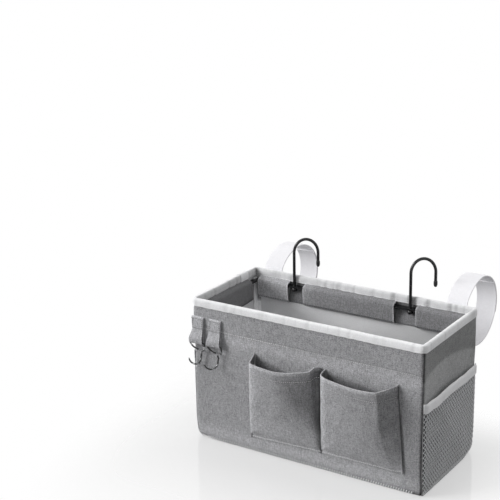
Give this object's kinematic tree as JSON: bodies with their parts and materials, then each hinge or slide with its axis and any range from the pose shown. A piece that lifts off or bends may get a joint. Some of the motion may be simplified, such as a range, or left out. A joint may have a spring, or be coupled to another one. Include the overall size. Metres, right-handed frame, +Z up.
{
  "type": "bedside caddy",
  "caption": "Open canvas box on a flat steel rim frame, with swivelling bed hooks, rear hook-and-loop straps, front pockets, mesh end pockets and key hooks.",
  "frame": {"origin": "middle of the fabric box's underside", "axes": "+X to the viewer's right along the front, +Y towards the rear wall with its straps and hooks, +Z up"},
  "size_m": [0.3258, 0.2668, 0.2391],
  "materials": {
    "grey_canvas": "plain-woven mid grey canvas",
    "side_canvas": "plain-woven grey canvas, soft",
    "dark_canvas": "dark grey canvas facing",
    "lining_cloth": "pressed non-woven lining",
    "stiffener_board": "plain board",
    "white_binding": "white woven binding tape",
    "white_strap": "white hook-and-loop tape",
    "grey_mesh": "grey knitted mesh",
    "black_steel": "gloss black coated steel",
    "black_vinyl": "dipped black vinyl",
    "bright_nickel": "bright nickel plate"
  },
  "bodies": {
    "caddy": {"bottom_panel": "grey_canvas", "front_panel": "grey_canvas", "rear_panel": "grey_canvas", "left_side_panel": "side_canvas", "right_side_panel": "side_canvas", "base_board": "stiffener_board", "front_board": "stiffener_board", "rear_board": "stiffener_board", "bottom_lining": "lining_cloth", "front_lining": "lining_cloth", "rear_lining": "lining_cloth", "left_lining": "lining_cloth", "right_lining": "lining_cloth", "rim_binding": "white_binding", "rim_frame": "black_steel", "front_sleeve": "dark_canvas", "left_sleeve": "dark_canvas", "right_sleeve": "dark_canvas", "rear_sleeve_left": "dark_canvas", "rear_sleeve_middle": "dark_canvas", "rear_sleeve_right": "dark_canvas", "left_strap_upper": "white_strap", "left_strap_lower": "white_strap", "right_strap_upper": "white_strap", "right_strap_lower": "white_strap", "left_front_pocket": "grey_canvas", "right_front_pocket": "grey_canvas", "left_mesh_pocket": "grey_mesh", "right_mesh_pocket": "grey_mesh", "left_mesh_binding": "white_binding", "right_mesh_binding": "white_binding", "left_key_tab": "grey_canvas", "right_key_tab": "grey_canvas"},
    "left_hook": {"left_hook": "black_steel", "left_hook_tip": "black_vinyl"},
    "right_hook": {"right_hook": "black_steel", "right_hook_tip": "black_vinyl"},
    "left_key_hook": {"left_key_hook": "bright_nickel"},
    "right_key_hook": {"right_key_hook": "bright_nickel"}
  },
  "joints": [
    {"name": "left_hook_swivel", "type": "hinge", "parent": "caddy", "child": "left_hook", "pos_m": [-0.0944, 0.0651, 0.173], "axis": [0, 0, 1], "range_deg": [-215, 90]},
    {"name": "right_hook_swivel", "type": "hinge", "parent": "caddy", "child": "right_hook", "pos_m": [0.0735, 0.0651, 0.173], "axis": [0, 0, 1], "continuous": true},
    {"name": "left_key_hook_swing", "type": "hinge", "parent": "caddy", "child": "left_key_hook", "pos_m": [-0.1505, -0.0775, 0.132], "axis": [-1, 0, 0], "range_deg": [-5, 90]},
    {"name": "right_key_hook_swing", "type": "hinge", "parent": "caddy", "child": "right_key_hook", "pos_m": [-0.1245, -0.0775, 0.132], "axis": [-1, 0, 0], "range_deg": [-5, 90]}
  ]
}
